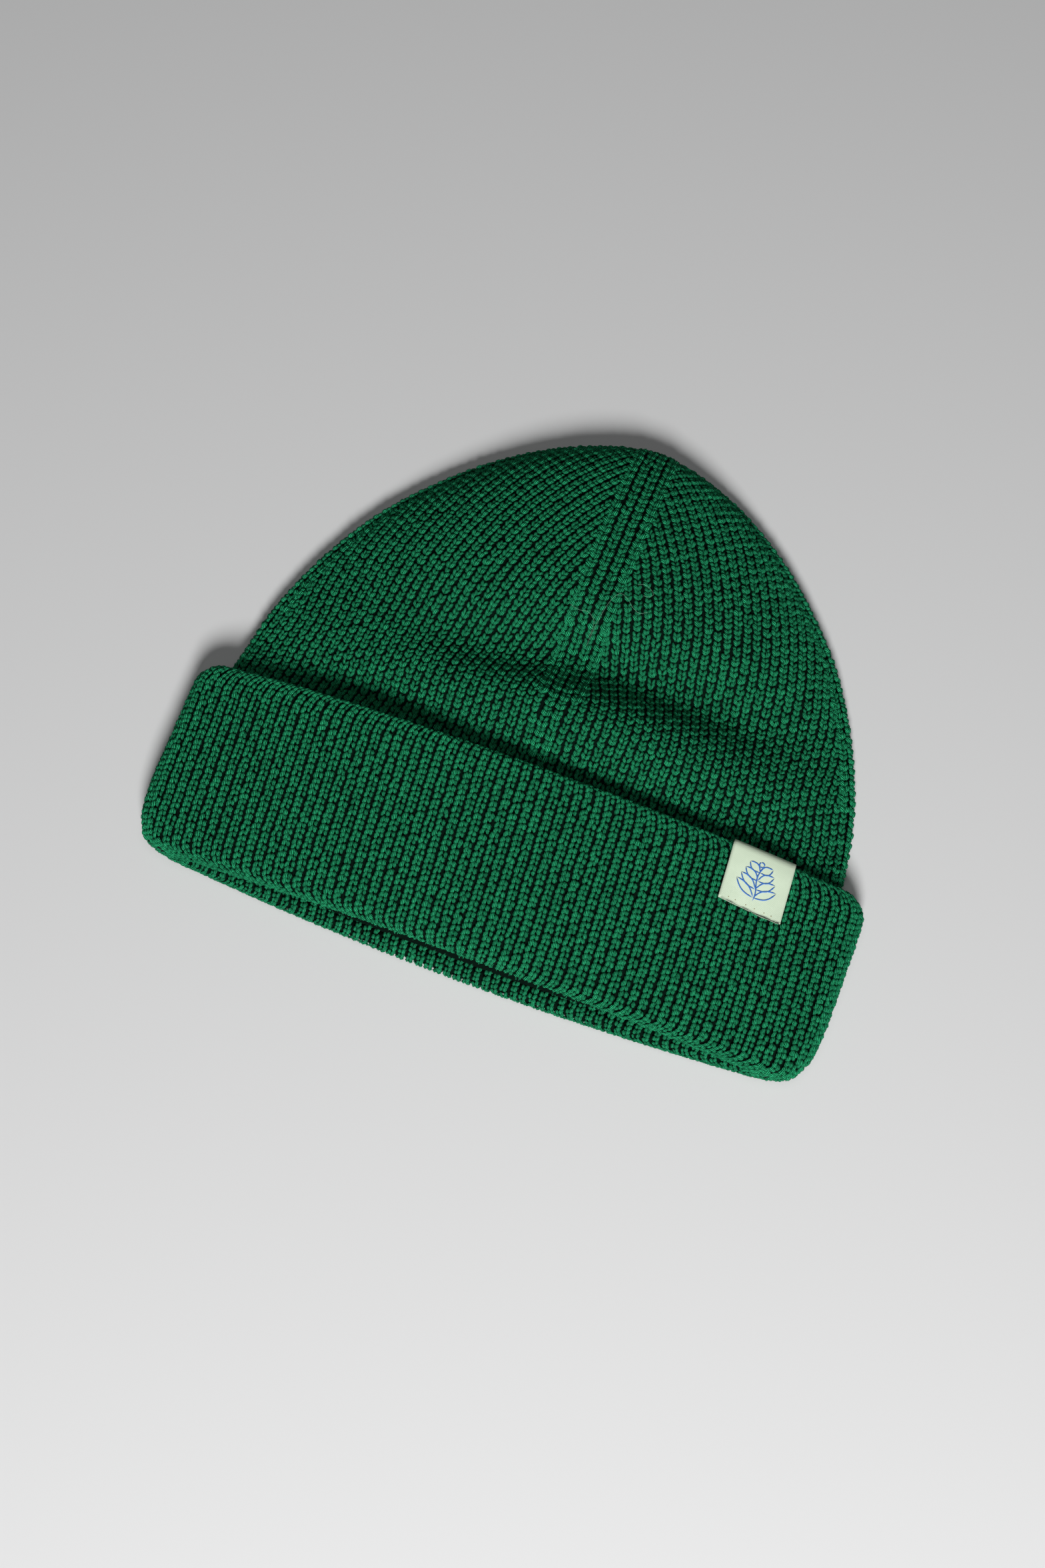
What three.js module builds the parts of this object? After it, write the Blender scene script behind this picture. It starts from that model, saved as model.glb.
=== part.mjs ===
// A rib-knit watch cap lying flat: a hollow crown, its turned-up cuff and a small folded label.
// Millimetres. X runs across the cap, Y from the mouth to the tip, Z up from the surface it lies on.
// The front of the cap is its upper side. The back lies on the surface.
import * as THREE from "three";

// Overall sizes
const capLength = 186;
const bodyWidth = 202.6;
const cuffFlare = 9.2;
const cuffHeight = 66.4;
const puffHeight = 28;

// Knit sizes
const wall = 3;
const layerGap = 0.6;
const ribDepth = 0.9;
const goreRibs = 32;
const dartRibWidth = 4.4;

// How the layers lie
const mouthGap = 6;
const rimStandoff = 5;
const frontSetBack = 5.3;
const cornerRise = 4;
const hemReturn = 2;
const seatClearance = 0.3;
const domeSharpness = 0.85;
const bodyDropLength = 14;
const dentStart = 8;

// The label folded over the cuff's top edge, with its middle set in from the cuff's side edge
const labelWidth = 20.4;
const labelDrop = 18.6;
const labelTuck = 9;
const labelThickness = 1;
const labelFromEdge = 36.8;
const labelTurn = -0.05;
const labelCurl = 1.1;

// Colours
const crownColour = 0x0f4a2f;
const cuffColour = 0x126038;
const labelColour = 0xe9ecdc;

// Steps of the faceted surfaces: shares of the crown's length, of a quarter of the way round,
// and of the cuff's height
const crownSteps = [0, 0.05, 0.1, 0.15, 0.2, 0.25, 0.3, 0.355, 0.42, 0.5, 0.58, 0.66, 0.74, 0.82, 0.89, 0.945,
  0.98, 1];
const plainShares = [0, 0.14, 0.28, 0.42, 0.55, 0.67, 0.78, 0.87, 0.93, 0.965, 1];
const rollSteps = 4;
const rimSteps = 2;
const labelColumns = 5;
const labelRows = 5;
const leastStep = 0.4;
const widestBand = 0.2;
const tipRing = 0.65;
const tuckedSteps = [0.13, 0.3, 0.65, 0.93];
const cuffSteps = [0.08, 0.3, 0.65, 0.93];
const flatSteps = 44;
const roundSteps = 8;
const leastHalf = 0.2;

// Crown outline and height from the cuff's top edge to the tip.
// along: share of the crown's length. width: share of half the body's width.
// height: share of the puff's height on the centre line. ribs: share of the gore's ribs still there.
const crownTable = [
  { along: 0.0, width: 1.0, height: 0.66, ribs: 1.0 },
  { along: 0.1, width: 0.989, height: 0.76, ribs: 1.0 },
  { along: 0.2, width: 0.967, height: 0.8, ribs: 0.99 },
  { along: 0.3, width: 0.93, height: 0.83, ribs: 0.91 },
  { along: 0.4, width: 0.881, height: 0.93, ribs: 0.82 },
  { along: 0.5, width: 0.82, height: 0.99, ribs: 0.745 },
  { along: 0.6, width: 0.742, height: 0.96, ribs: 0.65 },
  { along: 0.7, width: 0.64, height: 0.88, ribs: 0.53 },
  { along: 0.8, width: 0.516, height: 0.76, ribs: 0.395 },
  { along: 0.9, width: 0.347, height: 0.58, ribs: 0.235 },
  { along: 0.95, width: 0.222, height: 0.45, ribs: 0.13 },
  { along: 0.98, width: 0.115, height: 0.33, ribs: 0.06 },
  { along: 1.0, width: 0.0, height: 0.25, ribs: 0.0 },
];

// Cuff outline from the fold to the top edge.
// along: share of the cuff's height. width: share of half the cuff's width.
const cuffTable = [
  { along: 0.0, width: 0.872 },
  { along: 0.03, width: 0.938 },
  { along: 0.06, width: 0.96 },
  { along: 0.1, width: 0.974 },
  { along: 0.17, width: 0.988 },
  { along: 0.25, width: 0.995 },
  { along: 0.4, width: 1.0 },
  { along: 0.88, width: 1.0 },
  { along: 0.93, width: 0.992 },
  { along: 0.97, width: 0.975 },
  { along: 1.0, width: 0.957 },
];

// Dents and puffs of the crown's front.
// across: share of half the body's width. along: share of the crown's length.
// reachAcross and reachAlong: spread in the same shares. lift: share of the puff's height.
const dentTable = [
  { name: "crest", across: 0.2, along: 0.165, reachAcross: 0.48, reachAlong: 0.085, lift: 0.2 },
  { name: "valley", across: 0.2, along: 0.335, reachAcross: 0.38, reachAlong: 0.07, lift: -0.29 },
  { name: "left valley", across: -0.26, along: 0.27, reachAcross: 0.24, reachAlong: 0.065, lift: -0.17 },
  { name: "right arm", across: 0.56, along: 0.34, reachAcross: 0.2, reachAlong: 0.085, lift: -0.13 },
  { name: "left recess", across: -0.56, along: 0.05, reachAcross: 0.27, reachAlong: 0.06, lift: -0.17 },
  { name: "dart fold", across: 0.0, along: 0.55, reachAcross: 0.05, reachAlong: 0.3, lift: -0.035 },
];

// Heights and lengths that follow from the sizes above. One layer lies on each other at the pitch,
// the edge is two walls of the body, and the cuff adds one more layer above and below them.
const crownLength = capLength - cuffHeight;
const hollowEnd = capLength - 2 * wall;
const bodyHalf = bodyWidth / 2;
const cuffHalf = bodyHalf + cuffFlare;
const layerPitch = wall + layerGap;
const edgeThickness = 2 * wall + layerGap;
const cuffEdgeThickness = edgeThickness + 2 * layerPitch;
const foldStack = mouthGap + 4 * wall + 2 * layerGap;
const rimTop = puffHeight * crownTable[0].height + rimStandoff + layerPitch;
const rollRadius = wall + layerGap / 2;
const shoulder = cuffHeight - wall / 2;
const goreColumns = 2 * goreRibs;
const cuffRibs = goreRibs + 2;

function mix(from, to, share) {
  return from + (to - from) * share;
}

function ease(share) {
  const held = Math.min(Math.max(share, 0), 1);
  return held * held * (3 - 2 * held);
}

// A smooth curve through one column of a table that doesn't overshoot its rows
function readTable(rows, column, along) {
  const last = rows.length - 1;
  const held = Math.min(Math.max(along, rows[0].along), rows[last].along);
  let row = 0;
  while (row < last - 1 && held > rows[row + 1].along) {
    row += 1;
  }
  const slope = (index) => {
    const from = Math.min(Math.max(index, 0), last - 1);
    return (rows[from + 1][column] - rows[from][column]) / (rows[from + 1].along - rows[from].along);
  };
  const tangent = (index) => {
    const before = slope(index - 1);
    const after = slope(index);
    if (index === 0 || index === last) return index === 0 ? after : before;
    return before * after <= 0 ? 0 : (2 * before * after) / (before + after);
  };
  const step = rows[row + 1].along - rows[row].along;
  const t = (held - rows[row].along) / step;
  const rise = rows[row + 1][column] - rows[row][column];
  const start = tangent(row) * step;
  const end = tangent(row + 1) * step;
  const cubic = start + end - 2 * rise;
  const square = 3 * rise - 2 * start - end;
  return rows[row][column] + t * (start + t * (square + t * cubic));
}

// Outline of the cuff's outside at a share of its height, with its layers counted from outside
function cuffLevel(share) {
  return {
    half: cuffHalf * readTable(cuffTable, "width", share),
    base: 0,
    edge: cuffEdgeThickness,
    top: mix(foldStack, rimTop, Math.pow(Math.min(Math.max(share, 0), 1), domeSharpness)),
    dents: 0,
  };
}

// Outline of the body's outside inside the cuff, at a share of the cuff's height
function tuckedLevel(share) {
  const cuff = cuffLevel(share);
  const nearRim = ease(share);
  return {
    half: mix(cuff.half - layerPitch, Math.min(bodyHalf, cuff.half - layerPitch), nearRim),
    base: layerPitch,
    edge: edgeThickness,
    top: cuff.top - layerPitch - rimStandoff * nearRim,
    dents: 0,
    along: 0,
  };
}

// Outline of the body's outside above the cuff, at a distance from the cuff's top edge
function crownLevel(distance) {
  const along = distance / crownLength;
  const half = bodyHalf * readTable(crownTable, "width", along);
  const base = layerPitch * (1 - ease(distance / bodyDropLength));
  const top = puffHeight * readTable(crownTable, "height", along);
  const intoTip = Math.max(distance - (crownLength - edgeThickness / 2), 0) / (edgeThickness / 2);
  const closing = (edgeThickness / 2) * (1 - Math.sqrt(Math.max(1 - intoTip * intoTip, 0)));
  return {
    half,
    base: base + closing,
    edge: Math.max(Math.min(edgeThickness, half) - 2 * closing, 0),
    top: Math.max(top, base + edgeThickness) - closing,
    dents: ease(distance / dentStart),
    along,
  };
}

function dentLift(x, along) {
  return dentTable.reduce((sum, dent) => {
    const across = (x / bodyHalf - dent.across) / dent.reachAcross;
    const down = (along - dent.along) / dent.reachAlong;
    return sum + dent.lift * puffHeight * Math.exp(-across * across - down * down);
  }, 0);
}

// One half of a flattened ring, from the centre line round to the side edge.
// Returns its length, and a function of the share of that length which gives x and z.
function halfRing(level, quarter, inset) {
  const { side, face } = quarter;
  const half = Math.max(level.half - inset, leastHalf);
  const base = level.base + inset;
  const edge = Math.max(level.edge - 2 * inset, layerGap / 2);
  const round = Math.min(edge / 2, half / 2);
  const flat = half - round;
  const roof = Math.max(level.top - inset - base - edge, 0);
  const sweep = Math.PI / 2;
  const points = [];
  for (let step = 0; step <= flatSteps; step += 1) {
    const across = step / flatSteps;
    const x = flat * across;
    const dome = Math.pow(1 - across * across, domeSharpness);
    const dent = level.dents ? level.dents * dentLift(side * x, level.along) * Math.sqrt(dome) : 0;
    const z = face === "front" ? base + edge + roof * dome + dent : base;
    points.push([x, z]);
  }
  for (let step = 1; step <= roundSteps; step += 1) {
    const angle = (sweep * step) / roundSteps;
    const lift = face === "front" ? Math.cos(angle) : -Math.cos(angle);
    points.push([flat + round * Math.sin(angle), base + edge / 2 + (edge / 2) * lift]);
  }
  const reach = [0];
  for (let index = 1; index < points.length; index += 1) {
    const run = points[index][0] - points[index - 1][0];
    const rise = points[index][1] - points[index - 1][1];
    reach.push(reach[index - 1] + Math.hypot(run, rise));
  }
  const total = reach[reach.length - 1];
  const at = (share) => {
    const goal = Math.min(Math.max(share, 0), 1) * total;
    let index = 1;
    while (index < reach.length - 1 && reach[index] < goal) {
      index += 1;
    }
    const t = (goal - reach[index - 1]) / (reach[index] - reach[index - 1]);
    const x = mix(points[index - 1][0], points[index][0], t);
    const z = mix(points[index - 1][1], points[index][1], t);
    return [side * x, z];
  };
  return { at, total };
}

// Where the fold lies, seen from above: the front fold is set back and the corners rise
function foldLine(face, share) {
  const centre = face === "front" ? frontSetBack : 0;
  return mix(centre, cornerRise, share * share);
}

// Distance along the cap of a point at a share of the cuff's height
function cuffPlace(face, share, level) {
  return mix(foldLine(face, share), cuffHeight, level);
}

// The cap's frame has its origin under the middle of its outline
function placed(x, y, z) {
  return [x, y - capLength / 2, z];
}

// The stretches of a ring joined into one for each quarter, with shares as their places
function wholeQuarters(ring) {
  const whole = [[], [], [], []];
  const split = ring.length / 2 - 1;
  ring.forEach((stretch, number) => {
    const fromEnd = ring.length - 1 - number;
    const near = Math.min(number, fromEnd) < split ? 0 : 1;
    const quarter = number < fromEnd ? near : whole.length - 1 - near;
    const list = whole[quarter];
    stretch.forEach((entry, index) => {
      if (index > 0 || list.length === 0) list.push({ place: entry.share, index: entry.index });
    });
  });
  return whole;
}

// A mesh that is sewn together from closed rings. Each ring is a list of stretches that
// meet end to end, and each stretch is a list of corners with their place along it.
class Shell {
  constructor() {
    this.corners = [];
    this.faces = [];
  }

  corner(point) {
    this.corners.push(...point);
    return this.corners.length / 3 - 1;
  }

  // Makes the corners of a ring. The end of each stretch is the start of the next.
  ring(stretches) {
    const made = stretches.map((list) => list.slice(0, -1).map((entry) => {
      return { place: entry.place, share: entry.share, index: this.corner(entry.point) };
    }));
    return made.map((list, number) => {
      const next = made[(number + 1) % made.length][0];
      const final = stretches[number][stretches[number].length - 1];
      return [...list, { place: final.place, share: final.share, index: next.index }];
    });
  }

  face(a, b, c) {
    if (a !== b && b !== c && a !== c) this.faces.push(a, b, c);
  }

  // Joins two rings. Where one has more stretches, both are matched by their shares instead.
  sew(lowerRing, upperRing) {
    const alike = lowerRing.length === upperRing.length;
    const lower = alike ? lowerRing : wholeQuarters(lowerRing);
    const upper = alike ? upperRing : wholeQuarters(upperRing);
    lower.forEach((low, number) => {
      const high = upper[number];
      let i = 0;
      let j = 0;
      while (i < low.length - 1 || j < high.length - 1) {
        const lowNext = i < low.length - 1 ? low[i + 1].place : Infinity;
        const highNext = j < high.length - 1 ? high[j + 1].place : Infinity;
        if (lowNext <= highNext) {
          this.face(low[i].index, low[i + 1].index, high[j].index);
          i += 1;
        } else {
          this.face(low[i].index, high[j + 1].index, high[j].index);
          j += 1;
        }
      }
    });
  }

  chain(rings) {
    const made = rings.map((stretches) => this.ring(stretches));
    for (let row = 1; row < made.length; row += 1) {
      this.sew(made[row - 1], made[row]);
    }
    return made;
  }

  // A fan from a ring to one point beyond its end
  close(ring, point, outward) {
    const middle = this.corner(point);
    ring.forEach((stretch) => {
      for (let index = 1; index < stretch.length; index += 1) {
        const pair = [stretch[index - 1].index, stretch[index].index];
        if (!outward) pair.reverse();
        this.face(pair[0], pair[1], middle);
      }
    });
  }

  mesh(name, colour) {
    const geometry = new THREE.BufferGeometry();
    geometry.setAttribute("position", new THREE.Float32BufferAttribute(this.corners, 3));
    geometry.setIndex(this.faces);
    geometry.computeVertexNormals();
    const material = new THREE.MeshStandardMaterial({ color: colour, roughness: 0.95, metalness: 0 });
    const mesh = new THREE.Mesh(geometry, material);
    mesh.name = name;
    return mesh;
  }
}

// The four quarters in order round the cap, seen from the mouth: right front, right back,
// left back, left front. Each runs from a centre line to an edge, or back again.
const quarters = [
  { side: 1, face: "front", outward: true },
  { side: 1, face: "back", outward: false },
  { side: -1, face: "back", outward: true },
  { side: -1, face: "front", outward: false },
];

// Rib columns of one front quarter of the crown: shares of its length, with ridges and grooves.
// The gore's ribs end along the dart in the middle of the front and along the one at the side.
function crownColumns(along, length) {
  const band = Math.min(dartRibWidth / length, widestBand);
  const left = readTable(crownTable, "ribs", along) * goreColumns;
  const first = (goreColumns - left) / 2;
  const final = (goreColumns + left) / 2;
  const shareOf = (column) => mix(band, 1 - band, (column - first) / (final - first));
  const gore = [{ place: first, share: band, ridge: false }];
  for (let column = Math.ceil(first + leastStep); column < final - leastStep; column += 1) {
    gore.push({ place: column, share: shareOf(column), ridge: column % 2 === 1 });
  }
  gore.push({ place: final, share: 1 - band, ridge: false });
  const dart = [
    { place: 0, share: 0, ridge: false },
    { place: 0.5, share: band / 2, ridge: true },
    { place: 1, share: band, ridge: false },
  ];
  const edge = dart.map((entry) => {
    return { place: 1 - entry.place, share: 1 - entry.share, ridge: entry.ridge };
  });
  return [dart, gore, edge.reverse()];
}

// Rib columns of one front quarter of the cuff, evenly spaced from the centre line to the edge
function cuffColumns() {
  const list = [];
  for (let column = 0; column <= 2 * cuffRibs; column += 1) {
    const share = column / (2 * cuffRibs);
    list.push({ place: share, share, ridge: column % 2 === 1 });
  }
  return [list];
}

// Columns of a quarter that has no ribs, closer together where it turns round the side edge
function plainColumns() {
  return [plainShares.map((share) => ({ place: share, share, ridge: true }))];
}

// A ring round the cap. columns gives the front's columns, curve the half ring that a ridge or
// a groove lies on, and y the distance along the cap.
function capRing(columns, curve, y) {
  return quarters.flatMap((quarter) => {
    const ridge = curve(quarter, false);
    const groove = curve(quarter, true);
    const front = quarter.face === "front";
    const stretches = (front ? columns(ridge.total) : plainColumns()).map((stretch) => {
      return stretch.map((entry) => {
        const sunk = !entry.ridge || entry.share === 1;
        const [x, z] = (sunk ? groove : ridge).at(entry.share);
        const turn = quarter.outward ? 1 : -1;
        const point = placed(x, y(quarter.face, entry.share, sunk), z);
        return { place: turn * entry.place, share: turn * entry.share, point };
      });
    });
    return quarter.outward ? stretches : stretches.reverse().map((stretch) => stretch.reverse());
  });
}

// A crown ring at an outline, with its ribs or plain
function crownRing(level, y, inset, ribbed) {
  const columns = (length) => (ribbed ? crownColumns(level.along, length) : plainColumns());
  const depth = ribbed ? ribDepth : 0;
  const curve = (quarter, sunk) => halfRing(level, quarter, inset + (sunk ? depth : 0));
  return capRing(columns, curve, y);
}

// The crown: one hollow knit shell, from its lower end inside the cuff to the tip
function crown() {
  const shell = new Shell();
  const tucked = (share, inset, ribbed) => {
    return crownRing(tuckedLevel(share), (face, around) => cuffPlace(face, around, share), inset, ribbed);
  };
  const open = (distance, inset, ribbed) => {
    return crownRing(crownLevel(distance), () => cuffHeight + distance, inset, ribbed);
  };
  const lowest = (rollRadius + hemReturn + seatClearance) / cuffHeight;
  const roundStart = crownLength - edgeThickness / 2;
  const distances = crownSteps.map((share) => share * roundStart);
  const tuckedShares = [lowest, ...tuckedSteps];
  const inside = [
    ...tuckedShares.map((share) => tucked(share, wall, false)),
    ...distances.filter((distance) => distance < roundStart - 2 * wall)
      .map((distance) => open(distance, wall, false)),
  ];
  const outside = [
    ...tuckedShares.map((share) => tucked(share, 0, false)),
    ...distances.map((distance) => open(distance, 0, true)),
    open(mix(roundStart, crownLength, tipRing), 0, true),
  ];
  const rings = shell.chain([...inside.reverse(), ...outside]);
  shell.close(rings[0], placed(0, hollowEnd, edgeThickness / 2), false);
  shell.close(rings[rings.length - 1], placed(0, capLength, edgeThickness / 2), true);
  return shell.mesh("crown", crownColour);
}

// A cuff ring through one point of the band's cross-section. inset and rise place the point in
// from the cuff's outside and up from its fold, and inward points into the cloth from there.
function cuffRing(inset, rise, inward, ribbed) {
  const sink = (sunk) => (sunk && ribbed ? ribDepth : 0);
  const share = (sunk) => (rise + inward[1] * sink(sunk)) / cuffHeight;
  const curve = (quarter, sunk) => halfRing(cuffLevel(share(sunk)), quarter, inset + inward[0] * sink(sunk));
  const y = (face, around, sunk) => cuffPlace(face, around, share(sunk));
  return capRing(ribbed ? cuffColumns : plainColumns, curve, y);
}

// The cuff: the cap's lower edge turned up outside. Its cross-section is a J with a short
// return inside, which meets the crown's lower end.
function cuff() {
  const shell = new Shell();
  const rings = [];
  const hem = rollRadius + hemReturn;
  const bend = (middle, radius, from, to, steps, ribbed) => {
    for (let step = 0; step <= steps; step += 1) {
      const angle = mix(from, to, step / steps);
      const towards = [-Math.cos(angle), -Math.sin(angle)];
      rings.push(cuffRing(middle[0] - radius * towards[0], middle[1] - radius * towards[1], towards, ribbed));
    }
  };
  const run = (inset, share, inward, ribbed) => {
    rings.push(cuffRing(inset, mix(rollRadius, shoulder, share), inward, ribbed));
  };
  cuffSteps.forEach((share) => run(0, share, [1, 0], true));
  bend([wall / 2, shoulder], wall / 2, Math.PI, Math.PI / 2, rimSteps, true);
  bend([wall / 2, shoulder], wall / 2, Math.PI / 4, 0, rimSteps - 1, false);
  [0, ...cuffSteps].reverse().forEach((share) => run(wall, share, [-1, 0], false));
  rings.push(cuffRing(rollRadius, rollRadius - layerGap / 2, [0, 1], false));
  rings.push(cuffRing(rollRadius + layerGap / 2, rollRadius, [1, 0], false));
  rings.push(cuffRing(rollRadius + layerGap / 2, hem, [1, 0], false));
  rings.push(cuffRing(2 * rollRadius, hem, [-1, 0], false));
  bend([rollRadius, rollRadius], rollRadius, 0, -Math.PI, rollSteps, true);
  const sewn = shell.chain(rings);
  shell.sew(sewn[sewn.length - 1], sewn[0]);
  return shell.mesh("cuff", cuffColour);
}

// A point of the label: its place across the label, and a point beside the band's cross-section.
// Below the top edge, which the label follows, it hangs turned a little.
function labelPoint(across, inset, rise) {
  const below = Math.max(shoulder - rise, 0);
  const turned = rise + labelTurn * across * Math.min(below / labelDrop, 1);
  const level = cuffLevel(turned / cuffHeight);
  const half = halfRing(level, quarters[0], inset);
  const edge = halfRing(cuffLevel(shoulder / cuffHeight), quarters[0], 0).total;
  const around = (edge - labelFromEdge + across - labelTurn * below) / half.total;
  const [x, z] = half.at(around);
  return placed(x, cuffPlace("front", around, turned / cuffHeight), z);
}

// The label: a short tape folded over the cuff's top edge, down its outside and a little way inside
function label() {
  const shell = new Shell();
  const path = [];
  for (let row = 0; row < labelRows; row += 1) {
    const down = labelDrop * (1 - row / labelRows);
    const lift = labelCurl * Math.pow(down / labelDrop, 2);
    path.push({ middle: [0, shoulder - down], away: [-1, 0], lift });
  }
  for (let step = 0; step <= 2 * rimSteps; step += 1) {
    const angle = mix(Math.PI, 0, step / (2 * rimSteps));
    const away = [Math.cos(angle), Math.sin(angle)];
    path.push({ middle: [wall / 2 + (away[0] * wall) / 2, shoulder + (away[1] * wall) / 2], away, lift: 0 });
  }
  path.push({ middle: [wall, shoulder - labelTuck], away: [1, 0], lift: 0 });
  const spread = (entry, off) => {
    const list = [];
    for (let column = 0; column <= labelColumns; column += 1) {
      const across = labelWidth * (column / labelColumns - 0.5);
      const curl = entry.lift * Math.pow((2 * across) / labelWidth, 2);
      const out = off + curl;
      const rise = entry.middle[1] + entry.away[1] * out;
      list.push({ place: column, point: labelPoint(across, entry.middle[0] + entry.away[0] * out, rise) });
    }
    return list;
  };
  const rings = shell.chain(path.map((entry) => {
    const far = spread(entry, seatClearance + labelThickness);
    const near = spread(entry, seatClearance).reverse().map((corner) => ({ ...corner, place: -corner.place }));
    const right = [far[far.length - 1], near[0]].map((corner, place) => ({ ...corner, place }));
    const left = [near[near.length - 1], far[0]].map((corner, place) => ({ ...corner, place }));
    return [far, right, near, left];
  }));
  const middleOf = (entry) => {
    const out = seatClearance + labelThickness / 2;
    return labelPoint(0, entry.middle[0] + entry.away[0] * out, entry.middle[1] + entry.away[1] * out);
  };
  shell.close(rings[0], middleOf(path[0]), false);
  shell.close(rings[rings.length - 1], middleOf(path[path.length - 1]), true);
  return shell.mesh("label", labelColour);
}

const cap = new THREE.Group();
cap.add(crown(), cuff(), label());

export default cap;
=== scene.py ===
# %% [markdown]
# A rib-knit watch cap that lies on its back, with its lower edge turned up as a cuff.
# The solids of the cap are loaded first as a fixed frame. They hold the true sizes, and every
# piece that is made here goes where they are. Lengths are in metres: X runs across the cap,
# Y from the mouth to the tip, and Z up from the surface that the cap lies on.

# %% Load the frame and keep its box
import math

import bpy
import numpy as np
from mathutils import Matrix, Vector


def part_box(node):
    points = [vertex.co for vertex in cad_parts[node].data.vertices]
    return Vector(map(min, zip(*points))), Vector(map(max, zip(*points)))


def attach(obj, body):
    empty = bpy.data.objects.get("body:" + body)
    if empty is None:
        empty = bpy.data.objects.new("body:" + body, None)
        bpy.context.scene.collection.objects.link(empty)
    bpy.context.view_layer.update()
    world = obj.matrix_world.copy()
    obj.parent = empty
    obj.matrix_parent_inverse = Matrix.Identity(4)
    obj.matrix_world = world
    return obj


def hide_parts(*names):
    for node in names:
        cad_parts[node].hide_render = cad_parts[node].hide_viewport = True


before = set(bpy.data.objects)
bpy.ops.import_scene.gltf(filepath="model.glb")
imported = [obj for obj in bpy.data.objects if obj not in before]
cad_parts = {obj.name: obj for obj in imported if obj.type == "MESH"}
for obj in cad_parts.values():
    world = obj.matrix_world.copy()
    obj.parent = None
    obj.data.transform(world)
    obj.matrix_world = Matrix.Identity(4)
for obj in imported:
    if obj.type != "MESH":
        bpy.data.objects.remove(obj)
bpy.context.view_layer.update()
cuff_low, cuff_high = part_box("cuff")
crown_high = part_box("crown")[1]

# %% [markdown]
# The camera looks down on the cap from its front right, as a person would who stands at a table
# and looks at what lies on it. A long lens from two thirds of a metre keeps the outline true.

# %% Camera
CAMERA_PLACE = (0.0636, -0.20295, 0.6568)
CAMERA_TARGET = (-0.003, -0.02675, 0.0)
LENS_MM = 50.0
FILM_HEIGHT_MM = 36.0
NEAREST_SEEN = 0.01


def add_object(name, data):
    made = bpy.data.objects.new(name, data)
    bpy.context.scene.collection.objects.link(made)
    return made


def aim(thing, place, target):
    """Puts a camera or a lamp at a place and turns it towards a target."""
    thing.location = place
    direction = np.subtract(target, place)
    turn = math.atan2(direction[1], direction[0]) - math.pi / 2
    tilt = math.atan2(math.hypot(direction[0], direction[1]), -direction[2])
    thing.rotation_euler = (tilt, 0.0, turn)


def add_camera():
    lens = bpy.data.cameras.new("camera")
    lens.sensor_fit = "VERTICAL"
    lens.sensor_height = FILM_HEIGHT_MM
    lens.lens = LENS_MM
    lens.clip_start = NEAREST_SEEN
    holder = add_object("camera", lens)
    bpy.context.scene.camera = holder
    aim(holder, CAMERA_PLACE, CAMERA_TARGET)
    return holder


camera = add_camera()
print("camera at", tuple(round(value, 4) for value in camera.location))

# %% [markdown]
# The cap is one tube of knitting. Its lower end is turned up outside as the cuff, and its top is
# closed by four darts. These are the sizes of that tube as it lies flat, with the front puffed up.
# The lengths come from the frame where it has them. Each table has a row for each section, and
# its columns are shares of the lengths, so a row can be read beside a ruler laid on the cap.

# %% Sizes of the cap
MOUTH_Y = cuff_low.y
CUFF_HEIGHT = cuff_high.y - cuff_low.y
CROWN_LENGTH = crown_high.y - cuff_high.y
CUFF_HALF = 0.1105
BODY_HALF = 0.1013
PUFF_HEIGHT = 0.028
WALL = 0.003
LAYER_GAP = 0.0006
MOUTH_GAP = 0.006
RIM_STANDOFF = 0.005
FRONT_SET_BACK = 0.0053
CORNER_RISE = 0.004
DOME_SHARPNESS = 0.85
BODY_DROP_LENGTH = 0.014
DENT_START = 0.008

LAYER_PITCH = WALL + LAYER_GAP
EDGE_THICKNESS = 2 * WALL + LAYER_GAP
CUFF_EDGE_THICKNESS = EDGE_THICKNESS + 2 * LAYER_PITCH
FOLD_STACK = MOUTH_GAP + 4 * WALL + 2 * LAYER_GAP
ROLL_RADIUS = WALL + LAYER_GAP / 2
SHOULDER = CUFF_HEIGHT - WALL / 2


def table(columns, rows):
    """Rows of numbers with named columns."""
    return [dict(zip(columns.split(), row)) for row in rows]


# Outline, height on the centre line and ribs left of a quarter, by share of the crown's length
CROWN_ROWS = table("along width height ribs", [
    (0.0, 1.0, 0.66, 1.0),
    (0.1, 0.989, 0.76, 1.0),
    (0.2, 0.967, 0.8, 0.99),
    (0.3, 0.93, 0.83, 0.91),
    (0.4, 0.881, 0.93, 0.82),
    (0.5, 0.82, 0.99, 0.745),
    (0.6, 0.742, 0.96, 0.65),
    (0.7, 0.64, 0.88, 0.53),
    (0.8, 0.516, 0.76, 0.395),
    (0.9, 0.347, 0.58, 0.235),
    (0.95, 0.222, 0.45, 0.13),
    (0.98, 0.115, 0.33, 0.06),
    (1.0, 0.0, 0.25, 0.0),
])

# Outline of the cuff from the fold to the top edge, by share of its height
CUFF_ROWS = table("along width", [
    (0.0, 0.872),
    (0.03, 0.938),
    (0.06, 0.96),
    (0.1, 0.974),
    (0.17, 0.988),
    (0.25, 0.995),
    (0.4, 1.0),
    (0.88, 1.0),
    (0.93, 0.992),
    (0.97, 0.975),
    (1.0, 0.957),
])

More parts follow.
